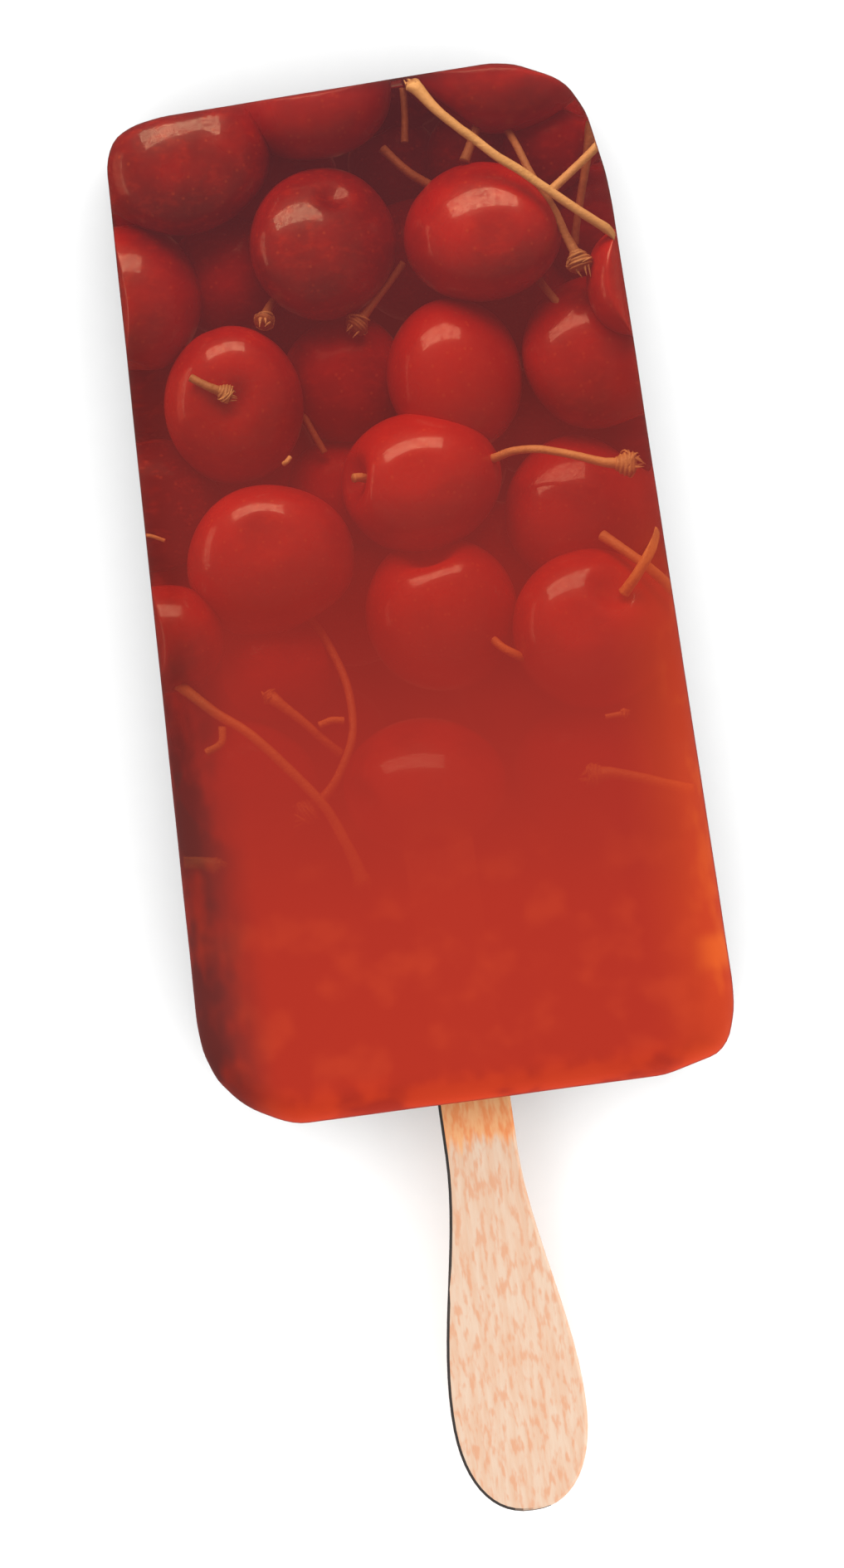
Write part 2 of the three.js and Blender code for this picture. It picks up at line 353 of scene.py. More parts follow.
STEM_SIDES = 12
STEM_STEPS = 44
STEM_RADIUS = 0.5
STEM_ROUGHNESS = 0.04  # as a share of its radius
STEM_GAP = 0.3  # between the stems and the mould's walls
STEM_SOFTNESS = 0.2
FIRST_STEM_SEED = 100
KNOB_FLARE = 0.8  # how much wider a stem is where it has a knob
END_FLARE = 0.2  # the same at its other ends
FLARE_LENGTH = 2.2  # how far from an end the flare has fallen to about a third
KNOB_RINGS = 30
KNOB_SIDES = 24
KNOB_RIDGES = 5
KNOB_LENGTH = 1.7  # this and the next two are shares of its size
KNOB_BACK = 1.0  # how far it starts before the stem's end
RIDGE_HEIGHT = 0.07
FIBRES = 12  # torn fibres round a knob
FIBRE_POINTS = 12
FIBRE_SIDES = 5
FIBRE_RADIUS = 0.15
SIDEWAYS = 1e-6  # added to a path's side, so that an upright path has one too

# Each stem: points along it, thickness as a share of the usual, the size of the knob at its start
# and at its end, where it has one, and how brown it is.
STEMS = [
    # points, thickness, knob at start, knob at end, brownness
    ([(7.9, 85.3, 23.6), (8.6, 84.4, 24.0), (10.3, 82.0, 24.6), (12.4, 79.7, 24.9), (14.5, 77.7, 25.1),
      (16.8, 75.4, 25.3), (19.3, 73.4, 25.3), (21.4, 71.5, 25.3), (23.2, 69.9, 25.2), (25.9, 67.5, 24.9),
      (28.3, 65.5, 24.2), (29.9, 64.1, 23.4)], 1.1, 0.8, 0, 0.0),
    ([(29.6, 75.9, 22.0), (27.4, 74.0, 22.8), (25.2, 72.3, 23.4), (22.9, 70.6, 24.0)], 0.95, 0, 0, 0.05),
    ([(18.2, 80.0, 16.5), (19.4, 76.8, 20.0), (20.6, 73.2, 21.8), (21.6, 71.1, 22.4), (22.95, 68.2, 22.4),
      (23.9, 65.1, 22.4), (24.7, 63.0, 22.6), (25.1, 61.6, 22.8)], 0.9, 0, 1.5, 0.65),
    ([(28.0, 79.4, 18.0), (27.4, 74.4, 18.0), (26.35, 69.8, 18.0), (25.3, 65.9, 18.0), (24.9, 64.0, 18.0)],
     0.85, 0, 0, 0.95),
    ([(16.4, 84.0, 15.0), (14.9, 79.4, 18.6), (13.0, 75.6, 20.0)], 1.05, 0, 0, 0.8),
    ([(3.4, 78.7, 15.0), (6.1, 75.5, 16.0), (8.7, 73.4, 16.0)], 1.0, 0, 0, 0.9),
    ([(6.9, 85.0, 14.5), (6.6, 82.0, 15.0), (6.2, 79.0, 15.5)], 0.8, 0, 0, 1.0),
    ([(-13.3, 59.7, 20.4), (-12.6, 61.2, 18.5), (-11.1, 63.0, 14.0)], 0.85, 1.15, 0, 0.8),
    ([(-2.3, 57.8, 18.4), (-0.4, 59.8, 17.6), (1.65, 61.9, 16.4), (4.2, 64.6, 15.5)], 0.8, 1.35, 0, 0.85),
    ([(-22.9, 53.8, 24.6), (-20.9, 52.4, 25.3), (-19.0, 51.4, 24.9)], 0.75, 0, 1.1, 0.85),
    ([(-10.3, 48.6, 15.0), (-9.5, 46.3, 16.0), (-8.2, 43.1, 16.0)], 0.7, 0, 0, 0.7),
    ([(11.6, 39.6, 21.4), (12.2, 39.7, 22.2), (14.3, 40.15, 23.4), (16.95, 40.0, 24.4), (19.55, 39.3, 25.0),
      (22.1, 38.4, 25.3), (24.7, 37.4, 25.3), (26.3, 37.05, 25.2), (27.6, 36.8, 25.0)], 0.95, 0, 1.5, 0.15),
    ([(-5.1, 39.4, 23.0), (-4.4, 39.4, 22.5), (-3.6, 39.2, 21.8)], 0.85, 0, 0, 0.1),
    ([(-13.2, 42.1, 25.0), (-12.8, 42.3, 25.3), (-12.3, 42.8, 25.0)], 0.45, 0, 0, 0.2),
    ([(-31.0, 36.1, 20.0), (-29.8, 35.7, 21.4), (-28.4, 34.9, 21.6)], 0.35, 0, 0, 0.1),
    ([(-14.4, 26.4, 12.0), (-13.3, 24.7, 14.6), (-11.6, 22.0, 16.4), (-10.1, 18.4, 18.4), (-9.2, 15.3, 20.0),
      (-8.9, 11.9, 21.6), (-9.2, 8.9, 23.0), (-10.1, 6.6, 23.8), (-12.0, 3.5, 24.2), (-14.2, 1.3, 24.2),
      (-15.8, 0.4, 24.2)], 1.0, 0, 1.5, 0.5),
    ([(-29.4, 18.0, 21.0), (-27.0, 15.4, 23.6), (-24.7, 13.2, 24.8), (-22.1, 11.2, 25.4), (-19.8, 8.8, 25.8),
      (-17.4, 5.9, 25.9), (-15.4, 3.3, 25.9), (-13.4, 0.4, 25.8), (-11.9, -3.2, 25.8), (-10.8, -6.4, 25.8),
      (-10.3, -8.8, 25.8)], 1.2, 0, 1.1, 0.35),
    ([(-18.4, 14.7, 23.0), (-17.4, 13.7, 23.4), (-15.0, 11.3, 23.2), (-12.7, 8.7, 22.6), (-10.9, 6.8, 21.6)],
     0.95, 0.9, 0, 0.4),
    ([(-13.0, 10.5, 23.4), (-11.5, 10.9, 23.6), (-10.0, 10.7, 23.4)], 0.7, 0, 0, 0.1),
    ([(-24.5, 11.8, 25.0), (-24.9, 9.9, 25.2), (-26.8, 9.0, 24.8)], 0.8, 0, 0, 0.1),
    ([(8.0, 19.0, 20.4), (8.8, 18.3, 21.4), (9.95, 17.0, 22.2), (11.5, 15.9, 22.2), (12.6, 15.3, 21.4)],
     0.95, 0, 0, 0.1),
    ([(25.2, 21.5, 24.4), (26.9, 23.35, 25.4), (28.9, 25.95, 25.8), (30.8, 28.5, 25.0)], 1.2, 0, 0, 0.0),
    ([(23.6, 28.8, 21.4), (25.7, 26.9, 22.8), (27.8, 24.9, 23.4), (29.5, 23.0, 23.2), (31.0, 20.9, 22.0)],
     1.15, 0, 0, 0.1),
    ([(18.9, 0.4, 25.6), (20.9, 0.3, 25.9), (24.1, -0.6, 26.0), (27.3, -1.8, 25.8), (30.2, -2.9, 24.6)],
     1.15, 1.35, 0, 0.1),
    ([(21.1, 7.1, 25.4), (23.4, 7.2, 25.4)], 0.4, 0, 0.5, 0.4),
    ([(-31.4, -3.7, 25.0), (-29.4, -4.0, 26.0), (-27.4, -4.6, 26.2)], 1.1, 0, 0.9, 0.2),
    ([(20.2, 60.4, 15.0), (21.2, 58.6, 17.4), (22.4, 56.6, 18.6)], 0.85, 0, 0, 0.5),
]


def smooth_path(points, steps):
    """Points along a smooth curve through the given ones (Catmull-Rom)."""
    ends = [2 * points[0] - points[1]] + list(points) + [2 * points[-1] - points[-2]]
    path = []
    for s in np.linspace(0, len(points) - 1, steps):
        i = min(int(s), len(points) - 2)
        u = s - i
        a, b, c, d = ends[i : i + 4]
        straight = 2 * b + (c - a) * u
        curved = (2 * a - 5 * b + 4 * c - d) * u**2 + (3 * b - a - 3 * c + d) * u**3
        path.append((straight + curved) / 2)
    return np.array(path)


def tube(path, radii):
    """A closed tube along a path, with a radius for each of its points."""
    sides = radii.shape[1]
    tangent = np.gradient(path, axis=0)
    tangent /= np.linalg.norm(tangent, axis=1)[:, None]
    side = np.cross(tangent, [0.0, 0.0, 1.0]) + SIDEWAYS
    side /= np.linalg.norm(side, axis=1)[:, None]
    up = np.cross(side, tangent)
    turn = np.linspace(0, 2 * np.pi, sides, endpoint=False)
    ring = np.cos(turn)[None, :, None] * side[:, None] + np.sin(turn)[None, :, None] * up[:, None]
    points = path[:, None] + ring * radii[:, :, None]
    points = np.vstack([points.reshape(-1, 3), path[:1], path[-1:]])
    return points, rings_of_faces(len(path), sides)


def knob_collar(draw, centre, outward, size, brownness):
    """The ridged collar that a stem widens to and was torn off at, and how brown its points are, with
    painted shade in the grooves between its ridges.
    """
    t = np.linspace(0, 1, KNOB_RINGS)[:, None]
    p = np.linspace(0, 2 * np.pi, KNOB_SIDES, endpoint=False)[None, :]
    phase = draw.uniform(0, 2 * math.pi)
    wander = 1.2 * np.sin(p + phase) + 0.6 * np.sin(3 * p)
    ridge = np.sin(2 * np.pi * KNOB_RIDGES * t + wander)
    widening = np.sin(np.pi / 2 * np.minimum(0.3 + t, 1))
    # its last fifth is torn to a narrower, ragged end
    torn = 1 - 0.45 * np.clip((t - 0.8) / 0.2, 0, 1) * (1 + 0.4 * np.sin(5 * p + phase))
    path = centre + outward * size * (KNOB_LENGTH * t - KNOB_BACK)
    surface = tube(path, size * widening * torn * (1 + RIDGE_HEIGHT * ridge))
    # darker between its ridges, which is painted shade in the grooves, and browner towards its end
    brown = 0.30 + 0.5 * brownness - 0.15 * ridge + 0.5 * np.clip((t - 0.6) / 0.3, 0, 1)
    return surface, np.concatenate([np.clip(brown, 0, 1).reshape(-1), [brownness, 1.0]])


def knob_fibres(draw, centre, outward, size):
    """Torn fibres: some curl round a knob, and some stick out of its end."""
    a = np.cross(outward, [0.0, 0.0, 1.0]) + SIDEWAYS
    a /= np.linalg.norm(a)
    b = np.cross(outward, a)
    middle_thickest = np.sin(np.linspace(0.25, math.pi - 0.25, FIBRE_POINTS))[:, None]
    to_a_point = np.linspace(1.3, 0.15, FIBRE_POINTS)[:, None]
    way = np.linspace(0, 1, FIBRE_POINTS)[:, None]
    fibres = []
    for k in range(FIBRES):
        start = draw.uniform(0, 2 * math.pi)
        curls = k % 3 > 0
        if curls:
            turn = start + draw.uniform(1.0, 2.6) * way
            along = (draw.uniform(-0.6, 0.6) + draw.uniform(-0.5, 0.5) * (2 * way - 1)) * size
            reach = size * draw.uniform(0.95, 1.15) * (1.0 - 0.2 * np.abs(along / size))
        else:
            turn = start + draw.uniform(-0.5, 0.5) * way
            along = (0.5 + draw.uniform(0.5, 1.2) * way) * size
            reach = size * (0.7 - draw.uniform(0.0, 0.5) * way)
        path = centre + reach * (np.cos(turn) * a + np.sin(turn) * b) + along * outward
        thickness = middle_thickest if curls else to_a_point
        fibre = tube(path, FIBRE_RADIUS * thickness * np.ones(FIBRE_SIDES))
        fibres.append((fibre, np.full(len(fibre[0]), draw.uniform(0.1, 0.5))))
    return fibres


def stem_surfaces(index, points, thickness, knobs, brownness):
    """A stem with its flared ends, and its knobs, each with how brown its points are."""
    draw = random.Random(FIRST_STEM_SEED + index)
    path = smooth_path(np.array(points, float), STEM_STEPS)
    step = np.linalg.norm(np.diff(path, axis=0), axis=1)
    along = np.concatenate([[0], np.cumsum(step)])
    radius = np.full(STEM_STEPS, STEM_RADIUS * thickness)
    knob_surfaces = []
    for at_end, knob in enumerate(knobs):
        distance = along[-1] - along if at_end else along
        flare = KNOB_FLARE if knob else END_FLARE
        radius = radius * (1 + flare * np.exp(-distance / FLARE_LENGTH))
        if knob:
            end, before = (path[-1], path[-4]) if at_end else (path[0], path[3])
            outward = (end - before) / np.linalg.norm(end - before)
            knob_surfaces.append(knob_collar(draw, end, outward, knob, brownness))
            knob_surfaces += knob_fibres(draw, end, outward, knob)
    rough = np.array([[draw.uniform(-1, 1) for _ in range(STEM_SIDES)] for _ in range(STEM_STEPS)])
    surface = tube(path, radius[:, None] * (1 + STEM_ROUGHNESS * rough))
    return [(surface, np.full(len(surface[0]), brownness))] + knob_surfaces


def make_stems():
    surfaces = []
    for index, (points, thickness, knob_at_start, knob_at_end, brownness) in enumerate(STEMS):
        surfaces += stem_surfaces(index, points, thickness, (knob_at_start, knob_at_end), brownness)
    points, faces = joined([surface for surface, _ in surfaces])
    points = keep_inside(points, STEM_GAP, STEM_SOFTNESS)
    piece = make_piece("stems", points, faces, stem_material(), "stem")
    paint(piece, "brownness", np.concatenate([brown for _, brown in surfaces]))
    return piece


# ---------------------------------------------------------------- ice

ICE_SIDES = 360  # points in each ring
WALL_RINGS = 8  # in each half of the ice, as are the next two
EDGE_RINGS = 10
FACE_RINGS = 44
ICE_WAVES = 0.10  # how deep the surface's slow waves are
BACK_WAVES = 0.3  # the back's share of that, as the pop lies flat on it
ICE_WAVE_LENGTH = 11.0
ICE_SKIN = 0.03  # the ice stays this far inside the mould's own shape
WAY_SOFTENING = 10  # how many times the way in from each point is averaged with its neighbours'


def softened(ring, rounds):
    """A closed ring of points or directions, each averaged with its neighbours that many times."""
    for _ in range(rounds):
        ring = (np.roll(ring, 1, axis=0) + 2 * ring + np.roll(ring, -1, axis=0)) / 4
    return ring


def even_outline(count):
    """The outline as evenly spaced points, with its bends softened a little."""
    closed = np.vstack([OUTLINE, OUTLINE[:1]])
    along = np.concatenate([[0], np.cumsum(np.linalg.norm(np.diff(closed, axis=0), axis=1))])
    where = np.linspace(0, along[-1], count, endpoint=False)
    ring = np.column_stack([np.interp(where, along, closed[:, k]) for k in range(2)])
    return softened(ring, 1)


def inward_ways(ring):
    """The way in from each point, turning so slowly at the bends that nothing folds over."""
    forward = softened(np.roll(ring, -1, axis=0) - np.roll(ring, 1, axis=0), WAY_SOFTENING)
    forward /= np.linalg.norm(forward, axis=1)[:, None]
    return np.column_stack([-forward[:, 1], forward[:, 0]])


def ice_half():
    """Rings of points from the middle of the side wall over the edge to the face's centre.
    Z is the height above the plane half way between the faces."""
    ring = even_outline(ICE_SIDES)
    inward = inward_ways(ring)
    ring = ring + inward * ICE_SKIN
    half = thickness_at(ring[:, 1]) / 2 - ICE_SKIN
    centre = ring.mean(axis=0)
    rings = []
    for k in range(WALL_RINGS):
        rings.append(np.column_stack([ring, (k + 0.5) / WALL_RINGS * (half - EDGE_RADIUS)]))
    for k in range(1, EDGE_RINGS + 1):
        turn = k / EDGE_RINGS * math.pi / 2
        flat = ring + inward * EDGE_RADIUS * (1 - math.cos(turn))
        rings.append(np.column_stack([flat, half - EDGE_RADIUS * (1 - math.sin(turn))]))
    rim = ring + inward * EDGE_RADIUS
    for k in range(1, FACE_RINGS):
        flat = rim + (centre - rim) * (k / FACE_RINGS)
        rings.append(np.column_stack([flat, thickness_at(flat[:, 1]) / 2 - ICE_SKIN]))
    rings.append(np.array([[*centre, thickness_at(centre[1]) / 2 - ICE_SKIN]]))
    return np.vstack(rings)


def ice_surface():
    """The whole closed shell: the back half's rings, then the front half's."""
    front = ice_half()
    back = front * [1, 1, -1]
    points = np.vstack([back[::-1], front])
    points[:, 2] += thickness_at(points[:, 1]) / 2
    half_rings = WALL_RINGS + EDGE_RINGS + FACE_RINGS - 1
    last_ring = 2 * half_rings - 1

    def number(ring, k):
        """Which point is a ring's k-th. The back half is stored backwards, and so is each of its rings."""
        return 1 + ring * ICE_SIDES + (ICE_SIDES - 1 - k if ring < half_rings else k)

    faces = []
    for ring in range(last_ring):
        for k in range(ICE_SIDES):
            after = (k + 1) % ICE_SIDES
            low = [number(ring, k), number(ring, after)]
            high = [number(ring + 1, after), number(ring + 1, k)]
            faces.append(low + high)
    for k in range(ICE_SIDES):
        after = (k + 1) % ICE_SIDES
        faces.append([number(0, after), number(0, k), 0])
        faces.append([number(last_ring, k), number(last_ring, after), len(points) - 1])
    return points, faces


def waves(points):
    """How far each point sinks, from 0 to 1, in slow waves."""
    return np.array([0.5 + 0.5 * noise.noise(Vector(p) / ICE_WAVE_LENGTH) for p in points])


def make_ice():
    points, faces = ice_surface()
    _, way = mould_distance(points)
    back = points[:, 2] < EDGE_RADIUS
    sink = ICE_WAVES * waves(points) * np.where(back, BACK_WAVES, 1.0)
    piece = make_piece("ice", points - way * sink[:, None], faces, ice_material(), "ice")
    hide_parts("ice_block")
    return piece


# ---------------------------------------------------------------- materials

def new_material(name):
    material = bpy.data.materials.new(name)
    material.use_nodes = True
    material.node_tree.nodes.clear()
    return material


def add(tree, kind, inputs, **settings):
    """A new node. inputs are its sockets by name or number, each a value or another's output."""
    node = tree.nodes.new("ShaderNode" + kind)
    for name, value in settings.items():
        setattr(node, name, value)
    for key, value in inputs.items():
        socket = node.inputs[key]
        if isinstance(value, bpy.types.NodeSocket):
            tree.links.new(value, socket)
        else:
            socket.default_value = value
    return node


def place(tree, scale=None):
    """The point shaded, in metres in the row's frame, times scale where one is given."""
    at = add(tree, "TexCoord", {}).outputs["Object"]
    if scale is None:
        return at
    return add(tree, "VectorMath", {0: at, 1: scale}, operation="MULTIPLY").outputs[0]


def facing(tree):
    """The way the surface faces at the point shaded, in the row's frame."""
    return add(tree, "TexCoord", {}).outputs["Normal"]


def axis_of(tree, vector, axis):
    return add(tree, "SeparateXYZ", {0: vector}).outputs[axis]


def noise_map(tree, at, scale, detail=2.0, roughness=0.5):
    inputs = {"Vector": at, "Scale": scale, "Detail": detail, "Roughness": roughness}
    return add(tree, "TexNoise", inputs).outputs["Fac"]


def ramp(tree, value, low, high, to_low=0.0, to_high=1.0):
    """value's way from low to high, smoothly, as to_low to to_high. low may be the larger."""
    inputs = {"Value": value, "From Min": low, "From Max": high, "To Min": to_low, "To Max": to_high}
    if low > high:
        inputs = {"Value": value, "From Min": high, "From Max": low, "To Min": to_high, "To Max": to_low}
    return add(tree, "MapRange", inputs, interpolation_type="SMOOTHSTEP").outputs["Result"]


def fade(tree, at, change, most=1.0):
    """From 0 to most over a change, which is two places in millimetres: where it starts, and where it is
    full. The values below whose names end in ALONG, ACROSS or EDGE are such changes."""
    start, full = change
    return ramp(tree, at, start * MM, full * MM, 0.0, most)


def blend_colours(tree, share, a, b, way="MIX"):
    node = add(tree, "Mix", {"Factor": share, 6: a, 7: b}, data_type="RGBA", blend_type=way)
    return node.outputs[2]


def maths(tree, operation, a, b=0.5):
    return add(tree, "Math", {0: a, 1: b}, operation=operation).outputs[0]


def times(tree, a, b):
    return maths(tree, "MULTIPLY", a, b)


def shifted(tree, value, by, reach):
    """value, shifted up and down by a noise map, by up to half of reach."""
    return maths(tree, "ADD", value, times(tree, maths(tree, "SUBTRACT", by, 0.5), reach))


def bump(tree, height, distance, strength):
    inputs = {"Height": height, "Distance": distance, "Strength": strength}
    return add(tree, "Bump", inputs).outputs["Normal"]


def finish_material(tree, surface, volume=None):
    links = {"Surface": surface}
    if volume is not None:
        links["Volume"] = volume
    add(tree, "OutputMaterial", links)


UNRIPE_RED = (0.50, 0.012, 0.004, 1)
RIPE_RED = (0.10, 0.003, 0.003, 1)
MOTTLE_RED = (0.60, 0.035, 0.006, 1)
FLECK_ORANGE = (0.70, 0.13, 0.03, 1)
# Near the end of the mould, where cherries are pressed against it: where they lose their shine, and where
# they turn darker towards that end.
SHINE_ALONG = (ICE_HIGH[1] - 1.2, ICE_HIGH[1] - 2.2)
TIP_DARK_ALONG = (ICE_HIGH[1] - 2.2, ICE_HIGH[1] - 0.8)


def cherry_colour(tree, at, patches):
    """Dark red with mottling and faint pale flecks, and redder on the less ripe cherries."""
    ripe = add(tree, "Attribute", {}, attribute_name="ripeness").outputs["Fac"]
    ripeness = ramp(tree, shifted(tree, ripe, patches, 0.8), 0.0, 1.0)
    colour = blend_colours(tree, ripeness, UNRIPE_RED, RIPE_RED)
    mottling = noise_map(tree, place(tree, (1, 1.6, 1)), 560.0, 4.0, 0.65)
    colour = blend_colours(tree, ramp(tree, mottling, 0.46, 0.72, 0.0, 0.25), colour, MOTTLE_RED)
    flecks = add(tree, "TexVoronoi", {"Vector": at, "Scale": 750.0}).outputs["Distance"]
    return blend_colours(tree, ramp(tree, flecks, 0.22, 0.06, 0.0, 0.22), colour, FLECK_ORANGE)


def cherry_material(name, gloss):
    """Glossy skin. A cherry's rim, which mirrors only the fruit round it, is less glossy. Where it is
    pressed against the end of the mould it has no shine, and near that end it is darker."""
    material = new_material(name)
    tree = material.node_tree
    at = place(tree)
    along = axis_of(tree, at, "Y")
    patches = noise_map(tree, at, 150.0, 3.0)
    pores = noise_map(tree, at, 1700.0, 2.0)
    wear = noise_map(tree, at, 1500.0, 4.0, 0.8)
    rim = add(tree, "LayerWeight", {"Blend": 0.5}).outputs["Facing"]
    unworn = ramp(tree, wear, 0.40, 0.54, 0.4, 1.0)
    shine = times(tree, ramp(tree, rim, 0.35, 0.75, gloss, 0.1 * gloss), unworn)
    shine = times(tree, shine, fade(tree, along, SHINE_ALONG))
    colour = cherry_colour(tree, at, patches)
    skin = add(tree, "BsdfPrincipled", {
        "Base Color": blend_colours(tree, fade(tree, along, TIP_DARK_ALONG, 0.6), colour, RIPE_RED),
        "Roughness": ramp(tree, patches, 0.3, 0.7, 0.26, 0.38),
        "IOR": 1.5,
        "Specular IOR Level": 0.3 * gloss,
        "Coat Weight": shine,
        "Coat Roughness": 0.07,
        "Normal": bump(tree, pores, 0.00003, 0.8),
    })
    finish_material(tree, skin.outputs[0])
    return material


# Two colours that lie in streaks.
PALE_STEM = (0.56, 0.37, 0.14, 1), (0.86, 0.60, 0.32, 1)
BROWN_STEM = (0.11, 0.050, 0.020, 1), (0.46, 0.22, 0.075, 1)
STEM_STAIN = (0.95, 0.48, 0.16, 1)
STEM_STAIN_ALONG = (60.0, 12.0)


def stem_material():
    """Pale tan stems, browner where they are older or torn, and stained by juice in the cloudy ice."""
    material = new_material("stem_skin")
    tree = material.node_tree
    at = place(tree)
    # on the knobs this is also painted shade in the grooves between their ridges
    brownness = add(tree, "Attribute", {}, attribute_name="brownness").outputs["Fac"]
    streaks = noise_map(tree, at, 500.0, 3.0, 0.6)
    pale = blend_colours(tree, streaks, *PALE_STEM)
    brown = blend_colours(tree, streaks, *BROWN_STEM)
    colour = blend_colours(tree, brownness, pale, brown)
    stained = fade(tree, axis_of(tree, at, "Y"), STEM_STAIN_ALONG)
    colour = blend_colours(tree, stained, colour, STEM_STAIN, "MULTIPLY")
    fibres = noise_map(tree, at, 1800.0, 3.0, 0.7)
    skin = add(tree, "BsdfPrincipled", {
        "Base Color": colour,
        "Roughness": 0.5,
        "Normal": bump(tree, fibres, 0.0002, 0.7),
    })
    finish_material(tree, skin.outputs[0])
    return material


# The ice's haze from tip to base: where along the ice, its colour, and how much it hides of what
# lies behind.
# near the tip the haze's grey is partly painted reflection of the white surroundings, which the ice's low
# IOR hardly mirrors
HAZE = [
    (86.0, (0.31, 0.075, 0.086), 0.12),
    (50.0, (0.30, 0.043, 0.040), 0.26),
    (24.0, (0.30, 0.028, 0.022), 0.53),
    (0.0, (0.30, 0.024, 0.016), 0.88),
    (-14.0, (0.32, 0.024, 0.014), 0.97),
    (-37.0, (0.34, 0.025, 0.013), 1.0),
]
CLEAR_TINT = (0.75, 0.62, 0.48, 1)  # what is left of light that comes through the ice's surface
WALL_TINT = (0.45, 0.13, 0.08, 1)  # the same at its side walls, which are seen through more juice
SHADE_TINT = (0.03, 0.03, 0.03, 1)  # the same for light that crosses the whole pop to reach the floor
ICE_IOR = 1.08
JUICE_RED = (0.55, 0.08, 0.04, 1)
JUICE_DENSITY = 45.0
HAZE_DRIFT = 20.0  # the haze comes and goes by half of this along the ice
WALL_STEEPNESS = (0.42, 0.12)  # how far up the surface faces where the side walls' look starts and is full

BLOTCH_RED = (0.48, 0.052, 0.018, 1)
# painted glow at the base edge
BASE_GLOW_RED = (0.60, 0.048, 0.013, 1)
# the next two are painted glow, orange, on the right of the lower part
GLOW_ORANGE = (0.62, 0.075, 0.014, 1)
GLOW_STREAK_ORANGE = (0.86, 0.19, 0.022, 1)
# painted shade along the left side
LEFT_SHADE_RED = (0.10, 0.020, 0.018, 1)
# painted shade on the side walls, for the depth of juice seen through them
WALL_SHADE_RED = (0.20, 0.016, 0.010, 1)

# Where those colours are. The spot of painted glow has two edges, which are places along the ice.
BLOTCHES_ALONG = (4.0, -22.0)
# where the painted glow at the base is
BASE_GLOW_ALONG = (-31.0, -36.5)
GLOW_ALONG = (40.0, 5.0)
GLOW_ACROSS = (21.0, 32.0)
GLOW_STREAKS_ACROSS = (27.0, 31.0)
GLOW_SPOT_TIP_EDGE = (-19.0, -22.0)
GLOW_SPOT_BASE_EDGE = (-26.0, -22.5)
# where the painted shade along the left side is
LEFT_SHADE_ALONG = (45.0, 15.0)
LEFT_SHADE_ACROSS = (-22.5, -30.0)


def haze_map(tree, level):
    """The haze's colour and how much it hides, by the level along the ice."""
    low, high = ICE_LOW[1] * MM, ICE_HIGH[1] * MM
    inputs = {"Value": level, "From Min": low, "From Max": high}
    along = add(tree, "MapRange", inputs).outputs["Result"]
    node = add(tree, "ValToRGB", {"Fac": along})
    stops = node.color_ramp.elements
    while len(stops) < len(HAZE):
        stops.new(0.5)
    for stop, (y, colour, share) in zip(stops, reversed(HAZE)):
        stop.position = min(max((y * MM - low) / (high - low), 0), 1)
        stop.color = (*colour, share)
    return node.outputs["Color"], node.outputs["Alpha"]


def with_blotches(tree, red, at, along, on_face):
    """Soft paler blotches in the cloudy part, and painted glow: a brighter, patchy band at the base edge."""
    blotches = noise_map(tree, at, 180.0, 2.0, 0.4)
    spots = times(tree, ramp(tree, blotches, 0.46, 0.72, 0.0, 0.3), fade(tree, along, BLOTCHES_ALONG))
    red = blend_colours(tree, spots, red, BLOTCH_RED)
    base_glow = times(tree, fade(tree, along, BASE_GLOW_ALONG, 0.6), on_face)
    base_glow = times(tree, base_glow, ramp(tree, blotches, 0.38, 0.58))
    return blend_colours(tree, base_glow, red, BASE_GLOW_RED)


def with_painted_glow_side(tree, red, patches, along, across, on_face):
    """Painted glow: orange towards the right side of the lower part, stronger in patches and in one spot
    next to it.
    """
    low_part = times(tree, fade(tree, along, GLOW_ALONG), on_face)
    glow = times(tree, fade(tree, across, GLOW_ACROSS, 0.32), low_part)
    red = blend_colours(tree, glow, red, GLOW_ORANGE)
    spot = times(tree, fade(tree, along, GLOW_SPOT_TIP_EDGE), fade(tree, along, GLOW_SPOT_BASE_EDGE))
    patchy = maths(tree, "ADD", ramp(tree, patches, 0.50, 0.68, 0.0, 0.13), ramp(tree, spot, 0, 1, 0, 0.27))
    streak = times(tree, fade(tree, across, GLOW_STREAKS_ACROSS), patchy)
    return blend_colours(tree, times(tree, streak, low_part), red, GLOW_STREAK_ORANGE)


def with_painted_shade_side(tree, red, patches, along, across):
    """Painted shade: dark along the left side."""
    dark = times(tree, fade(tree, across, LEFT_SHADE_ACROSS), ramp(tree, patches, 0.25, 0.6, 0.4, 1.0))
    dark = times(tree, dark, fade(tree, along, LEFT_SHADE_ALONG, 0.95))
    return blend_colours(tree, dark, red, LEFT_SHADE_RED)


def ice_look(tree, wall):
    """The haze's colour and how much it hides. wall is 0 on the ice's faces and 1 on its sides, which
    are painted darker: painted shade for the depth of juice seen through them."""
    at = place(tree)
    along = axis_of(tree, at, "Y")
    across = axis_of(tree, at, "X")
    drift = noise_map(tree, at, 32.0, 3.0, 0.55)
    patches = noise_map(tree, place(tree, (1, 0.6, 1)), 240.0, 2.0, 0.5)
    on_face = ramp(tree, wall, 1.0, 0.0, 0.15, 1.0)
    red, haze = haze_map(tree, shifted(tree, along, drift, HAZE_DRIFT * MM))
    red = with_blotches(tree, red, at, along, on_face)
    red = with_painted_glow_side(tree, red, patches, along, across, on_face)
    red = with_painted_shade_side(tree, red, patches, along, across)
    return blend_colours(tree, times(tree, wall, 0.5), red, WALL_SHADE_RED), haze


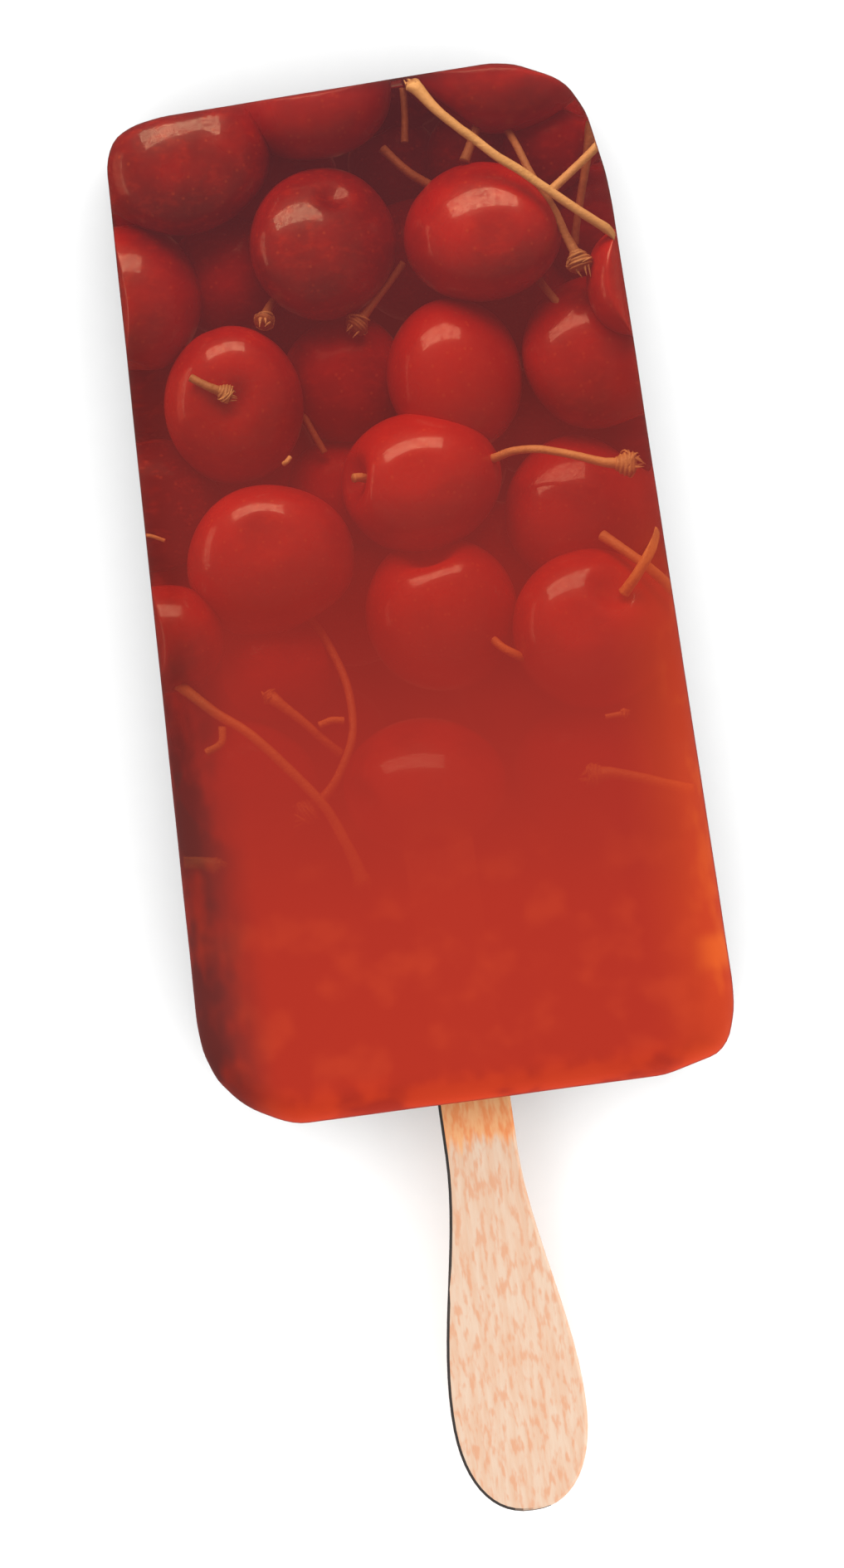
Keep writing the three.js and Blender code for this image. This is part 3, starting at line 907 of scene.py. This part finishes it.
def ice_material():
    """Clear tinted ice at the tip that clouds over towards the stick."""
    material = new_material("fruit_ice")
    tree = material.node_tree
    flatness = maths(tree, "ABSOLUTE", axis_of(tree, facing(tree), "Z"))
    wall = ramp(tree, flatness, *WALL_STEEPNESS)
    red, haze = ice_look(tree, wall)
    tint = blend_colours(tree, wall, CLEAR_TINT, WALL_TINT)
    cloud = add(tree, "BsdfPrincipled", {"Base Color": red, "Roughness": 0.4, "IOR": ICE_IOR})
    clear = add(tree, "BsdfGlass", {"Color": tint, "Roughness": 0.015, "IOR": ICE_IOR})
    seen = add(tree, "MixShader", {0: haze, 1: clear.outputs[0], 2: cloud.outputs[0]})

    # Rays run from what is lit to the lamp. One from the fruit only leaves the ice, and passes. One
    # from the floor has to come into it first, and hardly does, so the pop casts a shadow.
    path = add(tree, "LightPath", {})
    leaving = add(tree, "NewGeometry", {}).outputs["Backfacing"]
    surface = seen.outputs[0]
    let_out = {"Is Glossy Ray": tint, "Is Diffuse Ray": CLEAR_TINT, "Is Shadow Ray": CLEAR_TINT}
    for ray, colour in let_out.items():
        shade = add(tree, "BsdfTransparent", {"Color": SHADE_TINT})
        light = add(tree, "BsdfTransparent", {"Color": colour})
        through = add(tree, "MixShader", {0: leaving, 1: shade.outputs[0], 2: light.outputs[0]})
        mix = add(tree, "MixShader", {0: path.outputs[ray], 1: surface, 2: through.outputs[0]})
        surface = mix.outputs[0]
    juice = add(tree, "VolumeAbsorption", {"Color": JUICE_RED, "Density": JUICE_DENSITY})
    finish_material(tree, surface, juice.outputs[0])
    return material


BIRCH = (0.835, 0.61, 0.45, 1), (0.81, 0.52, 0.35, 1)  # two colours that lie along the grain
FLECK_BROWN = (0.80, 0.38, 0.21, 1)
TONE_BROWN = (0.83, 0.49, 0.31, 1)
STAIN = (0.99, 0.45, 0.17, 1), (0.95, 0.29, 0.08, 1)  # beside the flecks and on them
STAIN_ALONG = (ICE_LOW[1] - 6.2, ICE_LOW[1] - 4.0)
STAIN_DRIFT = 6.0  # the stain's edge comes and goes by half of this along the grain
# the next two set a painted shade line on the stick's front edge: its colour and the way it faces
SHADE_LINE = (0.045, 0.035, 0.03, 1)
SHADE_LINE_WAY = (-0.85, -0.53, 0)  # the line is on the edges that face this way: left, towards the end


def with_stain(tree, colour, grain, flecks):
    """Stained by juice next to the ice."""
    wet = shifted(tree, axis_of(tree, place(tree), "Y"), grain, STAIN_DRIFT * MM)
    stain = blend_colours(tree, ramp(tree, flecks, 0.35, 0.65), *STAIN)
    return blend_colours(tree, fade(tree, wet, STAIN_ALONG, 0.9), colour, stain)


def with_painted_shade_line(tree, colour):
    """A painted shade line: dark along the left part of the front edge."""
    way = facing(tree)
    to_left = add(tree, "VectorMath", {0: way, 1: SHADE_LINE_WAY}, operation="DOT_PRODUCT").outputs["Value"]
    upwards = ramp(tree, axis_of(tree, way, "Z"), 0.15, 0.25)
    return blend_colours(tree, times(tree, ramp(tree, to_left, 0.15, 0.30), upwards), colour, SHADE_LINE)


def wood_material():
    """Pale birch with short darker flecks along the grain."""
    material = new_material("birch")
    tree = material.node_tree
    flecks = noise_map(tree, place(tree, (1, 0.28, 1)), 1700.0, 2.0, 0.5)
    grain = noise_map(tree, place(tree, (1, 0.10, 1)), 1100.0, 3.0, 0.6)
    tone = noise_map(tree, place(tree), 70.0, 2.0)
    colour = blend_colours(tree, ramp(tree, grain, 0.35, 0.65), *BIRCH)
    colour = blend_colours(tree, ramp(tree, flecks, 0.46, 0.68, 0.0, 0.8), colour, FLECK_BROWN)
    colour = blend_colours(tree, ramp(tree, tone, 0.45, 0.65, 0.0, 0.12), colour, TONE_BROWN)
    colour = with_stain(tree, colour, grain, flecks)
    wood = add(tree, "BsdfPrincipled", {
        "Base Color": with_painted_shade_line(tree, colour),
        "Roughness": ramp(tree, flecks, 0.3, 0.8, 0.62, 0.78),
        "Normal": bump(tree, flecks, 0.0001, 0.4),
    })
    finish_material(tree, wood.outputs[0])
    return material


# ---------------------------------------------------------------- stage

# Lengths here are metres.
FLOOR_SIZE = 0.8  # half its length; past it there is only the white backdrop
FLOOR_LEVEL = -0.0002  # just below the pop
ICE_MIDDLE = (0, 0.03, 0.015)
STICK_MIDDLE = (0, -0.06, 0.015)
LAMPS_ABOUT = 0.02  # the place along the pop that the lamps stand round

# The lamps for the fruit and the ice: each one's place as distance, azimuth and zenith, its width,
# height and radiance, what it lights, and whether shiny surfaces mirror it.
LAMPS = [
    # name, place, width, height, radiance, lit, mirrored
    ("key", (0.9, -5, 57), 1.1, 0.40, 10.6, "fruit", True),
    ("left_card", (0.6, -80, 84), 0.45, 0.18, 4.5, "fruit", True),
    ("fruit_fill", (0.9, -5, 50), 1.4, 0.5, 2.8, "fruit", False),
    ("ice_key", (0.9, -5, 50), 1.4, 0.5, 6.3, "ice", False),
    ("ice_right", (0.7, 110, 70), 1.0, 0.3, 2.3, "ice", False),
    ("ice_base", (0.7, 170, 70), 1.0, 0.4, 2.6, "ice", False),
]
PANEL = (0.22, -0.25, 1.4)  # the floor's own lamp
PANEL_TARGET = (0.22, -0.249, 0)  # a hair off straight down, which settles how the panel is turned
WHITE = (1, 1, 1, 1)
WORLD_LIGHT = 0.47


def make_floor():
    mesh = bpy.data.meshes.new("floor")
    corners = [(-1, -1), (1, -1), (1, 1), (-1, 1)]
    points = [(x * FLOOR_SIZE, y * FLOOR_SIZE, FLOOR_LEVEL) for x, y in corners]
    mesh.from_pydata(points, [], [[0, 1, 2, 3]])
    floor = bpy.data.objects.new("floor", mesh)
    bpy.context.scene.collection.objects.link(floor)
    material = new_material("pale_floor")
    tree = material.node_tree
    grain = noise_map(tree, place(tree), 300.0)
    pale = blend_colours(tree, grain, (0.80, 0.80, 0.80, 1), (0.82, 0.82, 0.82, 1))
    finish_material(tree, add(tree, "BsdfPrincipled", {"Base Color": pale, "Roughness": 0.8}).outputs[0])
    mesh.materials.append(material)
    floor.visible_glossy = False
    return floor


def area_light(name, at, target, width, height, radiance, lit):
    """A soft rectangular lamp of that radiance that lights only the objects in lit."""
    light = bpy.data.lights.new(name, "AREA")
    light.shape = "RECTANGLE"
    light.size = width
    light.size_y = height
    light.energy = radiance * math.pi * width * height
    lamp = bpy.data.objects.new(name, light)
    bpy.context.scene.collection.objects.link(lamp)
    lamp.location = at
    lamp.rotation_euler = (Vector(target) - Vector(at)).to_track_quat("-Z", "Y").to_euler()
    lamp.visible_camera = False
    group = bpy.data.collections.new(name + "_lit")
    for each in lit:
        group.objects.link(each)
    lamp.light_linking.receiver_collection = group
    return lamp


def around(distance, azimuth, zenith):
    """A place that far from a point on the floor under the pop. Azimuth 0 is towards the tip and 90 to
    the right, and zenith 0 is straight up."""
    a, z = math.radians(azimuth), math.radians(zenith)
    flat = distance * math.sin(z)
    return (flat * math.sin(a), LAMPS_ABOUT + flat * math.cos(a), distance * math.cos(z))


def make_lights(floor, stick, ice, fruit):
    groups = {"fruit": fruit, "ice": [ice]}
    for name, where, width, height, radiance, lit, mirrored in LAMPS:
        lamp = area_light(name, around(*where), ICE_MIDDLE, width, height, radiance, groups[lit])
        lamp.visible_glossy = mirrored
    area_light("stick_lamp", around(0.8, 100, 30), STICK_MIDDLE, 0.8, 0.8, 3.0, [stick])
    area_light("floor_panel", PANEL, PANEL_TARGET, 3.05, 3.25, 2.38, [floor])


def make_world():
    world = bpy.data.worlds.new("studio")
    bpy.context.scene.world = world
    world.use_nodes = True
    tree = world.node_tree
    tree.nodes.clear()
    path = add(tree, "LightPath", {})
    light = add(tree, "Background", {"Color": WHITE, "Strength": WORLD_LIGHT}).outputs[0]
    backdrop = add(tree, "Background", {"Color": WHITE, "Strength": 1.0}).outputs[0]
    mix = add(tree, "MixShader", {0: path.outputs["Is Camera Ray"], 1: light, 2: backdrop})
    add(tree, "OutputWorld", {"Surface": mix.outputs[0]})


def make_camera():
    data = bpy.data.cameras.new("camera")
    data.lens = LENS
    data.sensor_width = SENSOR
    camera = bpy.data.objects.new("camera", data)
    bpy.context.scene.collection.objects.link(camera)
    x, y, z = VIEW_CENTRE
    distance = VIEW_LENGTH * LENS / SENSOR
    camera.location = (x * MM, y * MM, (z + distance) * MM)
    camera.rotation_euler = (0, 0, -LEAN)
    bpy.context.scene.camera = camera


# ---------------------------------------------------------------- the scene

cherries = make_cherries()
stems = make_stems()
ice = make_ice()
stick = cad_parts["stick"]
stick.data.materials.clear()
stick.data.materials.append(wood_material())
floor = make_floor()
make_world()
make_lights(floor, stick, ice, [*cherries, stems])
make_camera()
bpy.context.scene.view_settings.view_transform = "Standard"
